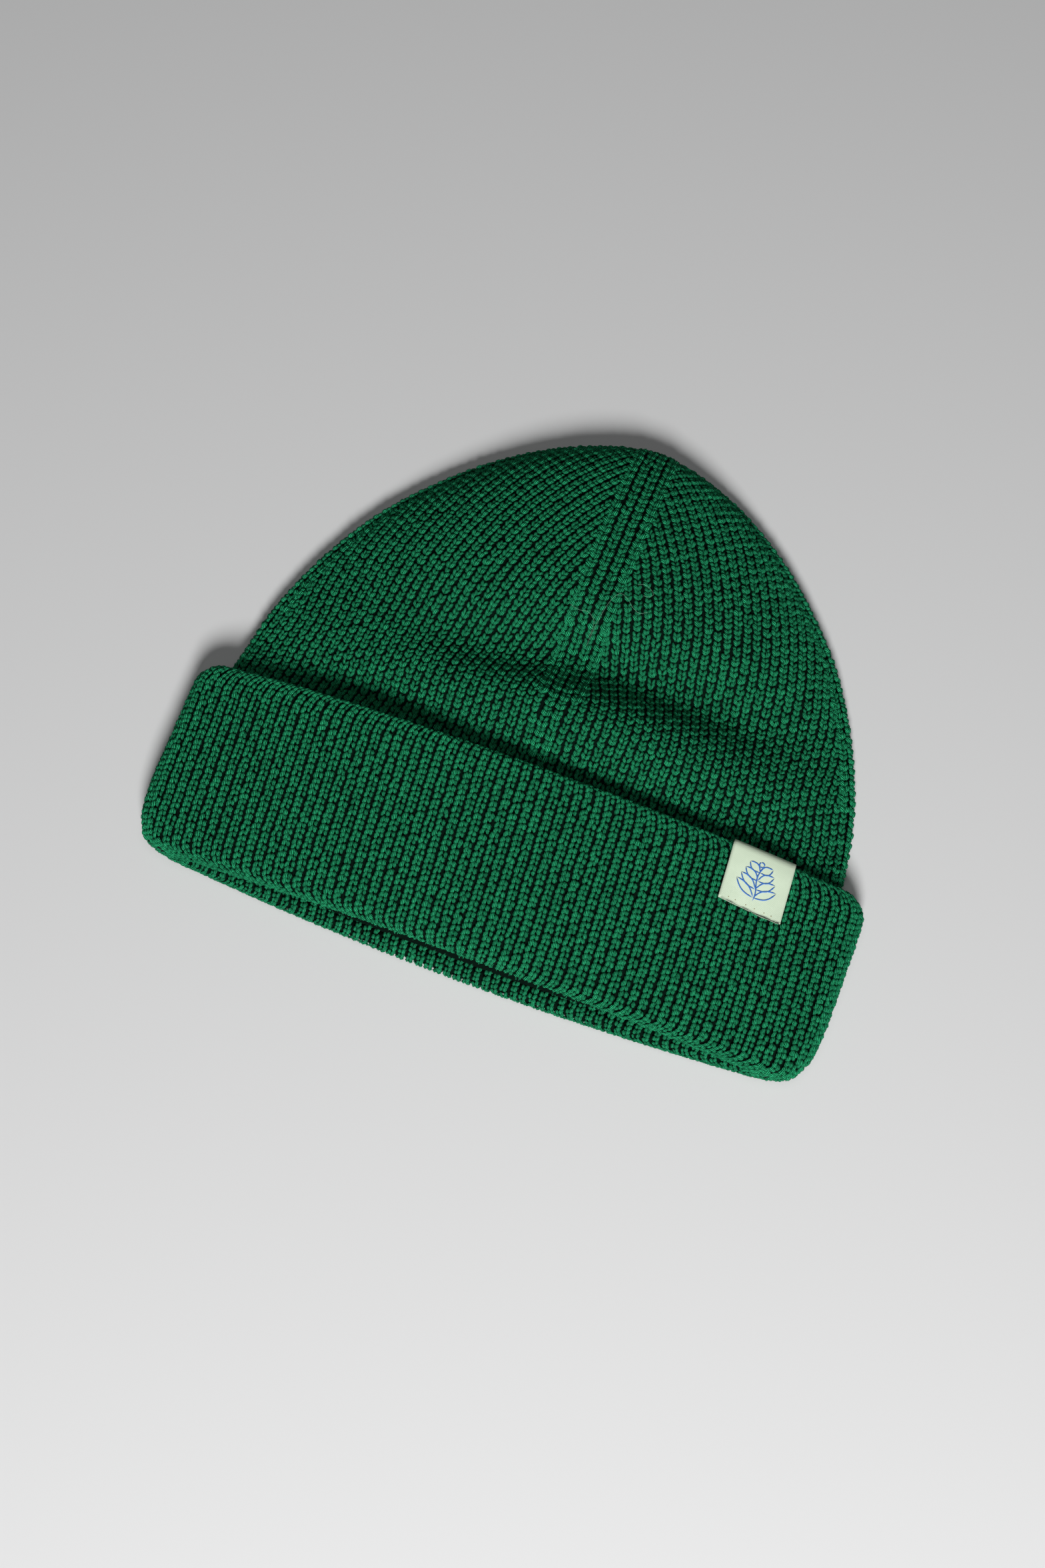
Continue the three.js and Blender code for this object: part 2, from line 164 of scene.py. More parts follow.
# Dents and puffs of the front: their middle and spread as shares of half the body's width and of
# the crown's length, and their lift as a share of the puff's height
DENT_ROWS = table("across along reach_across reach_along lift", [
    (0.2, 0.165, 0.48, 0.085, 0.2),
    (0.2, 0.335, 0.38, 0.07, -0.29),
    (-0.26, 0.27, 0.24, 0.065, -0.17),
    (0.56, 0.34, 0.2, 0.085, -0.13),
    (-0.56, 0.05, 0.27, 0.06, -0.17),
    (0.0, 0.55, 0.05, 0.3, -0.035),
])
print("cuff height", round(CUFF_HEIGHT, 4), "crown length", round(CROWN_LENGTH, 4))

# %% [markdown]
# A table gives a few rows, and the cloth needs a smooth line through them. A plain cubic would
# swing past the rows where they turn, so its slopes are held back there.


# %% Reading a table
def mix(start, end, share):
    return start + (end - start) * share


def ease(share):
    held = np.clip(share, 0.0, 1.0)
    return held * held * (3 - 2 * held)


def unit(vectors):
    return vectors / np.linalg.norm(vectors, axis=-1, keepdims=True)


def read_table(rows, column, along):
    """A smooth curve through one column of a table that doesn't overshoot its rows."""
    places = np.array([row["along"] for row in rows])
    values = np.array([row[column] for row in rows])
    slopes = np.diff(values) / np.diff(places)
    tangents = np.zeros(len(values))
    tangents[0], tangents[-1] = slopes[0], slopes[-1]
    before, after = slopes[:-1], slopes[1:]
    alike = before * after > 0
    total = np.where(alike, before + after, 1.0)
    tangents[1:-1] = np.where(alike, 2 * before * after / total, 0.0)
    held = np.clip(along, places[0], places[-1])
    row = np.clip(np.searchsorted(places, held, side="left") - 1, 0, len(values) - 2)
    step = places[row + 1] - places[row]
    share = (held - places[row]) / step
    rise = values[row + 1] - values[row]
    start, end = tangents[row] * step, tangents[row + 1] * step
    cubic, square = start + end - 2 * rise, 3 * rise - 2 * start - end
    return values[row] + share * (start + share * (square + share * cubic))


print("crown's half width at mid length", round(BODY_HALF * float(read_table(CROWN_ROWS, "width", 0.5)), 4))

# %% [markdown]
# A section across the cap is a flattened ring: a domed front, a back that lies flat and two
# tightly rounded side edges. It could be modelled by hand as a cage, but a formula read from the
# tables keeps every layer of cloth parallel to the one beneath, which a hand-made cage won't.
# First come the sizes of each layer's section, from the cuff inwards.


# %% Levels of the cuff and the crown
def cuff_level(share):
    """Section of the cuff's outside at a share of its height."""
    rim_top = PUFF_HEIGHT * CROWN_ROWS[0]["height"] + RIM_STANDOFF + LAYER_PITCH
    top = mix(FOLD_STACK, rim_top, np.clip(share, 0, 1) ** DOME_SHARPNESS)
    half = CUFF_HALF * read_table(CUFF_ROWS, "width", share)
    return dict(half=half, base=0.0, edge=CUFF_EDGE_THICKNESS, top=top, dents=0.0, along=0.0)


def tucked_level(share):
    """Section of the body's outside where it lies inside the cuff."""
    cuff = cuff_level(share)
    free = cuff["half"] - LAYER_PITCH
    half = mix(free, min(BODY_HALF, free), ease(share))
    top = cuff["top"] - LAYER_PITCH - RIM_STANDOFF * ease(share)
    return dict(half=half, base=LAYER_PITCH, edge=EDGE_THICKNESS, top=top, dents=0.0, along=0.0)


def crown_level(distance):
    """Section of the body's outside at a distance above the cuff's top edge."""
    along = distance / CROWN_LENGTH
    half = BODY_HALF * read_table(CROWN_ROWS, "width", along)
    base = LAYER_PITCH * (1 - ease(distance / BODY_DROP_LENGTH))
    top = PUFF_HEIGHT * read_table(CROWN_ROWS, "height", along)
    bend = EDGE_THICKNESS / 2
    into_tip = max(distance - (CROWN_LENGTH - bend), 0) / bend
    closing = bend * (1 - math.sqrt(max(1 - into_tip * into_tip, 0)))
    edge = max(min(EDGE_THICKNESS, half) - 2 * closing, 0)
    return dict(half=half, base=base + closing, edge=edge, top=max(top, base + EDGE_THICKNESS) - closing,
                dents=ease(distance / DENT_START), along=along)


def dent_lift(x, along):
    lift = 0.0
    for dent in DENT_ROWS:
        across = (x / BODY_HALF - dent["across"]) / dent["reach_across"]
        down = (along - dent["along"]) / dent["reach_along"]
        lift = lift + dent["lift"] * PUFF_HEIGHT * np.exp(-across * across - down * down)
    return lift


print("cuff's height at its top edge", round(cuff_level(1.0)["top"], 4))

# %% [markdown]
# Each section is now drawn as points. A quarter of it is worked out from the centre line to the
# side edge, and the whole ring joins four of them, with its points evenly along the cloth.

# %% Rings of points
FLAT_STEPS = 88
ROUND_STEPS = 12
LEAST_HALF = 0.0002


def quarter_ring(level, side, front, inset):
    """Points x, z of a section's quarter, from the centre line to the side edge, and their reach."""
    half = max(level["half"] - inset, LEAST_HALF)
    base = level["base"] + inset
    edge = max(level["edge"] - 2 * inset, LAYER_GAP / 2)
    bend = min(edge / 2, half / 2)
    flat = half - bend
    roof = max(level["top"] - inset - base - edge, 0)
    across = np.linspace(0, 1, FLAT_STEPS + 1)
    dome = (1 - across * across) ** DOME_SHARPNESS
    x = flat * across
    dents = level["dents"] * dent_lift(side * x, level["along"]) * np.sqrt(dome)
    z = base + edge + roof * dome + dents if front else np.full_like(x, base)
    angle = np.linspace(0, math.pi / 2, ROUND_STEPS + 1)[1:]
    x = np.append(x, flat + bend * np.sin(angle))
    z = np.append(z, base + edge / 2 + (1 if front else -1) * edge / 2 * np.cos(angle))
    reach = np.append(0.0, np.cumsum(np.hypot(np.diff(x), np.diff(z))))
    return side * x, z, reach


def fold_line(front, share):
    """Where the fold lies, seen from above: the front is set back and the corners rise."""
    return mix(FRONT_SET_BACK if front else 0.0, CORNER_RISE, share * share)


def whole_ring(level, inset, columns, place):
    """A closed section as points, a quarter at a time: right front, right back, left back, left
    front. place(front, share) gives the distance along the cap. Also returns the first one's length."""
    shares = np.linspace(0, 1, columns + 1)
    points = []
    for side, front, outward in [(1, True, True), (1, False, False), (-1, False, True), (-1, True, False)]:
        x, z, reach = quarter_ring(level, side, front, inset)
        goal = shares * reach[-1]
        y = MOUTH_Y + place(front, shares) + np.zeros_like(shares)
        quarter = np.stack([np.interp(goal, reach, x), y, np.interp(goal, reach, z)], axis=1)
        points.append((quarter if outward else quarter[::-1])[:-1])
        if front and outward:
            length = reach[-1]
    return np.concatenate(points), length


print("front height at mid crown", round(quarter_ring(crown_level(CROWN_LENGTH / 2), 1, True, 0.0)[1][0], 4))

# %% [markdown]
# A chart is a map of one face of the cloth. Its rows follow the knitting and its columns run round
# the cap, so a stitch can be placed by how far round it is and how far along. The ready-made way
# would be a UV map and instances on faces. A chart of our own gives exact stitch places, also
# where ribs end along a dart, and its normals tell each stitch which way is out of the cloth.

# %% Charts of the cloth
CHART_COLUMNS = 96


class Chart:
    """Points, normals and quarter lengths of a face of the cloth, to look up between its rows."""

    def __init__(self, places, rings, turn):
        self.places = np.asarray(places)
        self.points = np.array([ring[0] for ring in rings])
        self.lengths = np.array([ring[1] for ring in rings])
        around = np.roll(self.points, -1, axis=1) - np.roll(self.points, 1, axis=1)
        along = np.gradient(self.points, axis=0)
        normals = turn * np.cross(around, along)
        self.normals = normals / np.maximum(np.linalg.norm(normals, axis=2, keepdims=True), 1e-12)

    def look_up(self, grid, around, place):
        columns = grid.shape[1]
        column = (np.asarray(around) % 4.0) / 4.0 * columns
        row = np.interp(place, self.places, np.arange(len(self.places)))
        low_row = np.clip(np.floor(row).astype(int), 0, len(self.places) - 2)
        low_column = np.floor(column).astype(int) % columns
        next_column = (low_column + 1) % columns
        down = (row - low_row)[..., None]
        side = (column - np.floor(column))[..., None]
        lower = mix(grid[low_row, low_column], grid[low_row, next_column], side)
        upper = mix(grid[low_row + 1, low_column], grid[low_row + 1, next_column], side)
        return mix(lower, upper, down)

    def point(self, around, place):
        return self.look_up(self.points, around, place)

    def normal(self, around, place):
        return unit(self.look_up(self.normals, around, place))

    def length(self, place):
        return np.interp(place, self.places, self.lengths)


def beside_cuff(level):
    """Distances along the cap of a section that follows the cuff, at a share of its height."""
    def place(front, share):
        return mix(fold_line(front, share), CUFF_HEIGHT, level)

    return place


def crown_ring(distance, inset, columns):
    """A section of the body at a distance above the cuff's top edge, negative inside the cuff."""
    if distance >= 0:
        return whole_ring(crown_level(distance), inset, columns, lambda front, share: CUFF_HEIGHT + distance)
    level = 1 + distance / CUFF_HEIGHT
    return whole_ring(tucked_level(level), inset, columns, beside_cuff(level))


def cuff_ring(inset, rise, columns):
    """A section through the cuff at a depth into its cloth and a height above its fold."""
    level = rise / CUFF_HEIGHT
    return whole_ring(cuff_level(level), inset, columns, beside_cuff(level))


print("points round the mouth", cuff_ring(0.0, 0.0, CHART_COLUMNS)[0].shape)

# %% [markdown]
# The cuff's cloth turns twice: over its top edge, and round the bottom fold into the mouth. Its
# face is followed here as one path, from just inside the top edge, down the outside, round the
# fold and up inside the mouth, which is also the way it was knitted.

# %% The cuff's path
RIM_INSIDE = 0.006
MOUTH_INSIDE = 0.02
RIM_RADIUS = WALL / 2


def cuff_path(travel):
    """Depth into the cloth and height above the fold, at a distance travelled along the path."""
    rim_turn = math.pi * RIM_RADIUS
    outside = SHOULDER - ROLL_RADIUS
    fold_turn = math.pi * ROLL_RADIUS
    if travel < RIM_INSIDE:
        return WALL, SHOULDER - RIM_INSIDE + travel
    travel -= RIM_INSIDE
    if travel < rim_turn:
        angle = travel / RIM_RADIUS
        return RIM_RADIUS * (1 + math.cos(angle)), SHOULDER + RIM_RADIUS * math.sin(angle)
    travel -= rim_turn
    if travel < outside:
        return 0.0, SHOULDER - travel
    travel -= outside
    if travel < fold_turn:
        angle = travel / ROLL_RADIUS
        return ROLL_RADIUS * (1 - math.cos(angle)), ROLL_RADIUS * (1 - math.sin(angle))
    return 2 * ROLL_RADIUS, ROLL_RADIUS + travel - fold_turn


RIM_TURN_END = RIM_INSIDE + math.pi * RIM_RADIUS
FOLD_START = RIM_TURN_END + SHOULDER - ROLL_RADIUS
CUFF_PATH_END = FOLD_START + math.pi * ROLL_RADIUS + MOUTH_INSIDE
CROWN_CHART_START = -0.012
CHART_STEP = 0.001

crown_places = np.append(np.arange(CROWN_CHART_START, CROWN_LENGTH - CHART_STEP, CHART_STEP),
                         CROWN_LENGTH - CHART_STEP / 2)
crown_chart = Chart(crown_places, [crown_ring(place, 0.0, CHART_COLUMNS) for place in crown_places], 1)
cuff_places = np.arange(0.0, CUFF_PATH_END, CHART_STEP)
cuff_chart = Chart(cuff_places, [cuff_ring(*cuff_path(place), CHART_COLUMNS) for place in cuff_places], -1)
print("crown chart", crown_chart.points.shape, "cuff chart", cuff_chart.points.shape)

# %% [markdown]
# Shader maths reads best as sums. This class wraps the output of a node, so that adding or
# multiplying two of them adds the Math node that does it. Every other node comes from one method.


# %% Shader maths
class Value:
    """An output of a shader node that can be added, multiplied and so on."""

    def __init__(self, shader, socket):
        self.shader = shader
        self.socket = socket

    def maths(self, operation, *others):
        node = self.shader.node("ShaderNodeMath", {"operation": operation}, [self, *others])
        return self.shader.output(node, 0)

    def __add__(self, other):
        return self.maths("ADD", other)

    def __sub__(self, other):
        return self.maths("SUBTRACT", other)

    def __rsub__(self, other):
        return (self * -1.0) + other

    def __mul__(self, other):
        return self.maths("MULTIPLY", other)

    __radd__ = __add__
    __rmul__ = __mul__

    def sine(self):
        return self.maths("SINE")

    def limited(self):
        return self.maths("MINIMUM", 1.0).maths("MAXIMUM", 0.0)


class Shader:
    """A material's node tree with one Principled shader."""

    def __init__(self, name, roughness, sheen=0.0, specular=0.3):
        self.material = bpy.data.materials.new(name)
        self.material.use_nodes = True
        self.tree = self.material.node_tree
        self.surface = self.tree.nodes["Principled BSDF"]
        self.surface.inputs["Roughness"].default_value = roughness
        self.surface.inputs["Specular IOR Level"].default_value = specular
        self.surface.inputs["Sheen Weight"].default_value = sheen

    def node(self, kind, settings=None, inputs=()):
        """Adds a node: its settings are set first, then its sockets get values or links."""
        made = self.tree.nodes.new(kind)
        for name, value in (settings or {}).items():
            setattr(made, name, value)
        pairs = inputs.items() if isinstance(inputs, dict) else enumerate(inputs)
        for key, value in pairs:
            if isinstance(value, Value):
                self.tree.links.new(value.socket, made.inputs[key])
            else:
                made.inputs[key].default_value = value
        return made

    def output(self, node, key):
        return Value(self, node.outputs[key])

    def place(self):
        """The object's own coordinates."""
        return self.output(self.node("ShaderNodeTexCoord"), "Object")

    def first_two(self, vector):
        parts = self.node("ShaderNodeSeparateXYZ", {}, [vector])
        return self.output(parts, 0), self.output(parts, 1)

    def map(self, name):
        """The two coordinates of a named UV map."""
        return self.first_two(self.output(self.node("ShaderNodeUVMap", {"uv_map": name}), 0))

    def attribute(self, name):
        return self.output(self.node("ShaderNodeAttribute", {"attribute_name": name}), "Fac")

    def noise(self, scale, detail):
        made = self.node("ShaderNodeTexNoise", {}, {"Vector": self.place(), "Scale": scale, "Detail": detail})
        return self.output(made, "Fac")

    def blend(self, share, first, second):
        """A mix of two colours."""
        made = self.node("ShaderNodeMix", {"data_type": "RGBA"}, {0: share, 6: first, 7: second})
        return self.output(made, 2)

    def colour(self, value):
        self.tree.links.new(value.socket, self.surface.inputs["Base Color"])

    def bump(self, height, distance, strength):
        made = self.node("ShaderNodeBump", {}, {"Height": height, "Distance": distance, "Strength": strength})
        self.tree.links.new(made.outputs[0], self.surface.inputs["Normal"])


# %% [markdown]
# The yarn is thick, dark green and plied: several strands are twisted together, and each catches
# the light on its own back and leaves a shaded line beside it. Those strands are too fine to
# model, so their light and shade are painted into the colour as slanted stripes, a painted
# highlight on each strand's back and painted shade beside it, and their relief goes into the bump.
# The stripes turn the same way on every stitch, as the twist does. Beneath the stitches lies a
# ground painted near black as the shade between them, which is what shows between them.

# %% Materials of the knit
STRANDS = 8.0
TWIST_PER_MM = 0.85
FIBRES = 5 * STRANDS
FIBRE_TWIST = 6 * TWIST_PER_MM
STRAND_WEIGHT, FIBRE_WEIGHT, FUZZ_WEIGHT = 0.75, 0.1, 0.3
# How the painted shade between the strands and the painted highlight on their backs follow the stripes
STRAND_SHADE_GAIN, STRAND_SHADE_BELOW = 1.6, 0.15
HIGHLIGHT_ABOVE, HIGHLIGHT_GAIN = 0.58, 2.6
FIBRE_RELIEF, FUZZ_RELIEF = 0.2, 0.6
TURN = 2 * math.pi


def stripes(around, along, count, twist):
    """Slanted stripes, from 0 to 1, round a leg of yarn."""
    return ((around * count + along * twist) * TURN).sine() * 0.5 + 0.5


def yarn_material(name, strand_shade, body, light):
    """Plied yarn: painted shade between its strands and a painted highlight on the backs of the strands."""
    shader = Shader(name, roughness=0.8, specular=0.02)
    around, along = shader.map("yarn")
    strands = stripes(around, along, STRANDS, TWIST_PER_MM)
    fibres = stripes(around, along, FIBRES, FIBRE_TWIST)
    rough = shader.noise(scale=1400.0, detail=3.0)
    # Each leg's random tone and the painted shade at its ends, which blend the colour towards black
    shade_and_tone = shader.attribute("shade_and_tone")
    back = (strands * STRAND_WEIGHT + fibres * FIBRE_WEIGHT + rough * FUZZ_WEIGHT).limited()
    # Painted shade between the strands, then a painted highlight on the backs of the strands
    shaded_body = shader.blend((back * STRAND_SHADE_GAIN - STRAND_SHADE_BELOW).limited(), strand_shade, body)
    colour = shader.blend(((back - HIGHLIGHT_ABOVE) * HIGHLIGHT_GAIN).limited(), shaded_body, light)
    shaded = shader.blend(shade_and_tone.limited(), (0.0, 0.0, 0.0, 1.0), colour)
    shader.colour(shaded)
    relief = strands + fibres * FIBRE_RELIEF + rough * FUZZ_RELIEF
    shader.bump(relief, distance=0.0002, strength=0.9)
    return shader.material


# The cloth beneath the stitches is painted near black: painted shade deep between the stitches, with faint
# random patches
def ground_shade_material(name, dark, less_dark):
    shader = Shader(name, roughness=0.95, specular=0.1)
    patches = shader.noise(scale=900.0, detail=3.0)
    shader.colour(shader.blend(patches, dark, less_dark))
    shader.bump(patches, distance=0.0003, strength=0.6)
    return shader.material


# Each yarn has a colour of painted shade between strands, its own green, and a colour of painted highlight
crown_yarn = yarn_material("crown_yarn", strand_shade=(0.0, 0.004, 0.002, 1), body=(0.0, 0.132, 0.04, 1),
                           light=(0.06, 0.76, 0.35, 1))
cuff_yarn = yarn_material("cuff_yarn", strand_shade=(0.0, 0.006, 0.003, 1), body=(0.0, 0.142, 0.045, 1),
                          light=(0.06, 0.74, 0.34, 1))
# Near-black painted shade for the cloth beneath the stitches
ground_shade = ground_shade_material("knit_ground_painted_shade", (0.0, 0.002, 0.001, 1), (0.0, 0.008, 0.004, 1))
print("materials", [material.name for material in bpy.data.materials])

# %% [markdown]
# Meshes of a hundred thousand faces are filled from arrays, because adding faces one by one is slow.
# The helpers here make any mesh, and sew rows of points into a closed shell.


# %% Mesh helpers
def add_mesh(name, points, corners, sizes, material, maps=None, shade_and_tone=None):
    """A smooth mesh from points, the corners of its faces in one row and each face's size."""
    mesh = bpy.data.meshes.new(name)
    mesh.vertices.add(len(points))
    mesh.vertices.foreach_set("co", np.asarray(points, np.float32).ravel())
    mesh.loops.add(len(corners))
    mesh.loops.foreach_set("vertex_index", np.asarray(corners, np.int32))
    mesh.polygons.add(len(sizes))
    starts = np.append(0, np.cumsum(sizes)[:-1])
    mesh.polygons.foreach_set("loop_start", np.asarray(starts, np.int32))
    mesh.polygons.foreach_set("use_smooth", np.ones(len(sizes), bool))
    for map_name, values in (maps or {}).items():
        layer = mesh.uv_layers.new(name=map_name)
        layer.data.foreach_set("uv", np.asarray(values, np.float32).ravel())
    # An attribute that the yarn's colour reads: a random tone and painted shade at each point
    if shade_and_tone is not None:
        mesh.attributes.new("shade_and_tone", "FLOAT", "POINT").data.foreach_set("value", np.asarray(shade_and_tone, np.float32))
    mesh.update(calc_edges=True)
    mesh.validate()
    mesh.materials.append(material)
    piece = add_object(name, mesh)
    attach(piece, "root")
    return piece


def sew(rows, columns, looped):
    """Four-sided faces between rings of points, and from the last to the first if looped."""
    row, column = np.meshgrid(np.arange(rows if looped else rows - 1), np.arange(columns), indexing="ij")
    above = (row + 1) % rows
    beside = (column + 1) % columns
    here, there = row * columns, above * columns
    return np.stack([here + column, here + beside, there + beside, there + column], axis=-1).reshape(-1, 4)


def add_shell(name, rings, looped, material):
    """A closed shell sewn from rings. Where they aren't looped, a point closes each end."""
    columns = len(rings[0])
    points = np.concatenate(rings)
    faces = sew(len(rings), columns, looped)
    corners, sizes = [faces.ravel()], [np.full(len(faces), 4)]
    if not looped:
        ends = [rings[0].mean(axis=0), rings[-1].mean(axis=0)]
        for number, start in [(0, 0), (1, (len(rings) - 1) * columns)]:
            ring = start + np.arange(columns)
            pole = np.full(columns, len(points) + number)
            pair = (np.roll(ring, -1), ring) if number == 0 else (ring, np.roll(ring, -1))
            corners.append(np.stack([*pair, pole], axis=1).ravel())
            sizes.append(np.full(columns, 3))
        points = np.concatenate([points, ends])
    return add_mesh(name, points, np.concatenate(corners), np.concatenate(sizes), material)


# %% [markdown]
# Under the stitches the cloth itself is a closed wall. The crown is a hollow bag whose lower end
# hangs inside the cuff, and the cuff is a folded band. They are as thick as the solids less the
# depth of the ribs, which the stitches fill.

# %% The cloth beneath the stitches
GROUND_DEPTH = 0.00125
GROUND_COLUMNS = 36
HEM_RETURN = 0.002
SEAT_CLEARANCE = 0.0003
TUCKED_RINGS, OPEN_RINGS = 16, 56
TIP_SHARES = (0.35, 0.65)
OUTSIDE_RINGS, RIM_RINGS, ROLL_RINGS = 30, 5, 9


def add_crown_ground():
    bend_start = CROWN_LENGTH - EDGE_THICKNESS / 2
    lowest = ROLL_RADIUS + HEM_RETURN + SEAT_CLEARANCE - CUFF_HEIGHT
    tucked = np.linspace(lowest, 0, TUCKED_RINGS)[:-1]
    open_places = np.linspace(0, bend_start, OPEN_RINGS)
    tip = CROWN_LENGTH - EDGE_THICKNESS / 2 * (1 - np.array(TIP_SHARES))
    outside = [crown_ring(place, GROUND_DEPTH, GROUND_COLUMNS)[0]
               for place in [*tucked, *open_places, *tip]]
    inside = [crown_ring(place, WALL, GROUND_COLUMNS)[0]
              for place in [*tucked, *open_places[open_places < bend_start - 2 * WALL][::2]]]
    return add_shell("crown_cloth", [*inside[::-1], *outside], False, ground_shade)


def arc(inset, rise, radius, angles):
    return [(inset + radius * math.cos(angle), rise + radius * math.sin(angle)) for angle in angles]


def add_cuff_ground():
    outside = np.linspace(ROLL_RADIUS, SHOULDER, OUTSIDE_RINGS)
    seat, hem = ROLL_RADIUS + LAYER_GAP / 2, ROLL_RADIUS + HEM_RETURN
    path = [(GROUND_DEPTH, rise) for rise in outside]
    path += arc((GROUND_DEPTH + WALL) / 2, SHOULDER, (WALL - GROUND_DEPTH) / 2,
                np.linspace(math.pi, 0, RIM_RINGS)[1:-1])
    path += [(WALL, rise) for rise in outside[::-2]]
    path += [(seat, ROLL_RADIUS), (seat, hem), (2 * ROLL_RADIUS - GROUND_DEPTH, hem)]
    path += arc(ROLL_RADIUS, ROLL_RADIUS, ROLL_RADIUS - GROUND_DEPTH,
                np.linspace(0, -math.pi, ROLL_RINGS)[:-1])
    rings = [cuff_ring(inset, rise, GROUND_COLUMNS)[0] for inset, rise in path]
    return add_shell("cuff_cloth", rings, True, ground_shade)


crown_cloth = add_crown_ground()
cuff_cloth = add_cuff_ground()
print("cloth faces", len(crown_cloth.data.polygons), len(cuff_cloth.data.polygons))

# %% [markdown]
# A rib is a column of V stitches. Each V has two fat legs that come up from behind the stitch
# below, lean outwards and dive behind the stitch above, and between the fat Vs the thinner
# strand of the tucked loop shows. Fabric like this is often faked with a tiled bump, which goes
# flat and stays the same everywhere. Here every leg is a small spindle of its own, placed on the
# chart, so the ribs have real depth, dark gaps and an outline with a knitted edge.

# %% Legs of a stitch
# Each leg's sides, start and length along the rib as shares of a stitch, offset from the rib's
# middle at its start and end as shares of the rib's width, depths of its middle and ends, radius,
# and the sides and rings of its mesh on the front and on the back of the cap
BOTH, RIGHT, LEFT = (-1, 1), (1,), (-1,)
LEG_COLUMNS = "sides start reach near far middle ends radius front back"
CROWN_LEGS = table(LEG_COLUMNS, [
    (RIGHT, -0.04, 0.74, -0.01, 0.365, -0.0004, -0.00095, 0.00067, (6, 4), (4, 3)),
    (LEFT, -0.02, 0.72, 0.0, 0.365, -0.00048, -0.00095, 0.00065, (6, 4), (4, 3)),
    (BOTH, 0.44, 0.68, 0.0, 0.32, -0.00055, -0.00095, 0.00058, (4, 3), (4, 2)),
])
CUFF_LEGS = table(LEG_COLUMNS, [
    (RIGHT, 0.0, 0.82, 0.05, 0.31, -0.00045, -0.00075, 0.0007, (5, 4), (5, 3)),
    (RIGHT, 0.5, 0.82, 0.05, 0.31, -0.00045, -0.00075, 0.00068, (5, 4), (5, 3)),
    (LEFT, 0.03, 0.7, 0.13, 0.27, -0.00038, -0.0009, 0.00066, (5, 3), (4, 2)),
    (LEFT, 0.54, 0.62, 0.13, 0.24, -0.0005, -0.0009, 0.00056, (5, 3), (4, 2)),
])
print("legs of a stitch", [sum(len(leg["sides"]) for leg in legs) for legs in (CROWN_LEGS, CUFF_LEGS)])

# %% [markdown]
# A rib is a line on a chart. Knitting is never quite even, so each leg is also moved and thickened
# by a little chance, from a seed that stays the same.

# %% Ribs and legs
RIB_WIDTH = 0.003
BESIDE = 0.01
JITTER = 0.00012
PLACE_WOBBLE = 0.045
THICKNESS_WOBBLE = 0.09
THINNEST, THICKEST = 0.5, 1.45
LEAN_POWER = 0.8
PLUMP_POWER = 0.6
SEED = 7
random = np.random.default_rng(SEED)


class Rib:
    """A line on a chart that stitches follow. Its width round the cap narrows where it leans."""

    def __init__(self, chart, around, places, widths):
        points = chart.point(around, places)
        self.reach = np.append(0.0, np.cumsum(np.linalg.norm(np.diff(points, axis=0), axis=1)))
        self.points = points
        self.normals = chart.normal(around, places)
        along = np.gradient(points, self.reach, axis=0)
        along -= self.normals * np.sum(along * self.normals, axis=1, keepdims=True)
        along = unit(along)
        self.sides = np.cross(along, self.normals)
        beside = unit(chart.point(around + BESIDE, places) - points)
        self.widths = widths * np.linalg.norm(np.cross(beside, along), axis=1)

    def read(self, values, reach):
        if values.ndim == 1:
            return np.interp(reach, self.reach, values)
        return np.stack([np.interp(reach, self.reach, values[:, axis]) for axis in range(3)], axis=-1)


def leg_lines(rib, starts, pitch, leg, side, rings):
    """Middle lines of one leg of every stitch of a rib, with the outward direction and radius."""
    share = np.linspace(0, 1, rings + 2)
    bow = np.sin(share * math.pi)
    wobble = random.normal(0, 1, (len(starts), 3))
    reach = starts[:, None] + pitch * (leg["start"] + PLACE_WOBBLE * wobble[:, :1] + leg["reach"] * share)
    width = rib.read(rib.widths, reach)
    off = side * width * mix(leg["near"], leg["far"], share ** LEAN_POWER) + JITTER * wobble[:, 1:2]
    normals = rib.read(rib.normals, reach)
    fullness = np.clip(width / RIB_WIDTH, THINNEST, THICKEST)
    depth = mix(leg["ends"], leg["middle"], bow)
    lines = (rib.read(rib.points, reach) + off[..., None] * rib.read(rib.sides, reach)
             + depth[..., None] * normals)
    radius = leg["radius"] * bow ** PLUMP_POWER * (1 + THICKNESS_WOBBLE * wobble[:, 2:3]) * fullness
    return lines, normals, radius


middle_rib = Rib(crown_chart, 0 * crown_places, crown_places, RIB_WIDTH + 0 * crown_places)
print("length along the crown's middle", round(middle_rib.reach[-1], 4))

# %% [markdown]
# Each leg's mesh is a spindle: a few rings of points round its middle line, and a point at each
# end. It is a little flatter than round, as a pressed yarn is. All legs of one kind share the same
# faces, so thousands of them are made in one go.

# %% Spindles
FLATNESS = 0.86


def spindles(lines, normals, radius, sides):
    """Points of spindles along middle lines: rings of points, then the two ends."""
    along = unit(np.gradient(lines, axis=1))
    out = unit(normals - along * np.sum(normals * along, axis=2, keepdims=True))
    right = np.cross(along, out)
    angle = np.arange(sides) / sides * TURN
    around = (FLATNESS * np.cos(angle)[None, None, :, None] * out[:, 1:-1, None]
              + np.sin(angle)[None, None, :, None] * right[:, 1:-1, None])
    rings = lines[:, 1:-1, None] + around * radius[:, 1:-1, None, None]
    rings = rings.reshape(len(lines), -1, 3)
    return np.concatenate([rings, lines[:, :1], lines[:, -1:]], axis=1)


